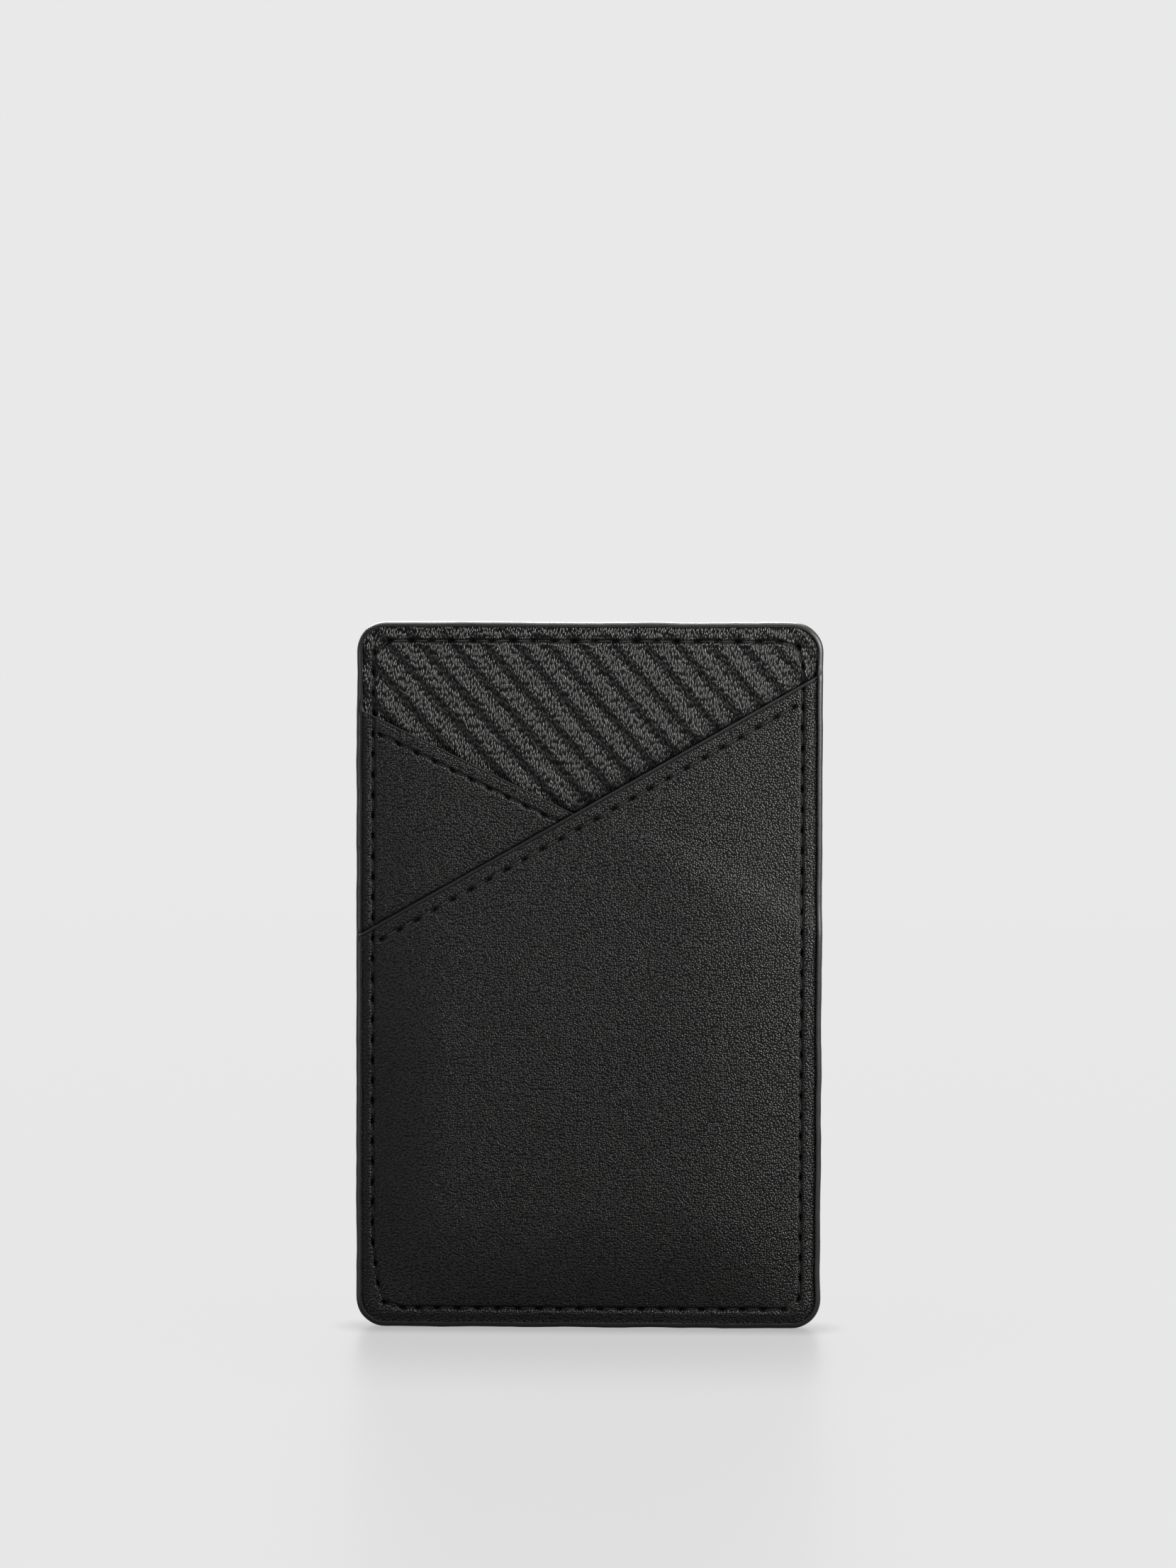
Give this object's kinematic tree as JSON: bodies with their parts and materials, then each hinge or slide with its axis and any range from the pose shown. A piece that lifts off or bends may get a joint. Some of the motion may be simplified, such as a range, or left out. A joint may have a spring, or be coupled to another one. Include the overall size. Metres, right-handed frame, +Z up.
{
  "type": "card holder",
  "caption": "Slim upright leather card holder with a ribbed facing, two crossing slanted pockets, stitched mouths, an all-round seam and painted edges.",
  "frame": {"origin": "middle of the bottom edge, half way through the thickness", "axes": "+Z up towards the top edge, +X to the right seen from the front, +Y towards the plain back; the pockets face -Y"},
  "size_m": [0.066, 0.0052, 0.1003],
  "materials": {
    "back_leather": "black pebbled leather, semi-matt",
    "pocket_leather": "black fine pebbled leather, semi-matt with a soft sheen",
    "ribbed_leather": "black embossed leather with slanting ribs and a fine streaked grain, satin",
    "lining": "thin black woven lining",
    "board": "dark grey bonded fibre board",
    "edge_paint": "satin charcoal edge paint in rounded coats",
    "thread": "waxed black polyester thread"
  },
  "bodies": {
    "root": {"back_panel": "back_leather", "core_board": "board", "ribbed_facing": "ribbed_leather", "middle_pocket_lining": "lining", "middle_pocket_panel": "pocket_leather", "middle_mouth_edge_paint": "edge_paint", "middle_mouth_needle_thread": "thread", "middle_mouth_bobbin_thread": "thread", "front_pocket_lining": "lining", "front_pocket_panel": "pocket_leather", "front_mouth_edge_paint": "edge_paint", "front_mouth_needle_thread": "thread", "front_mouth_bobbin_thread": "thread", "perimeter_edge_paint": "edge_paint", "perimeter_needle_thread": "thread", "perimeter_bobbin_thread": "thread"}
  },
  "joints": []
}
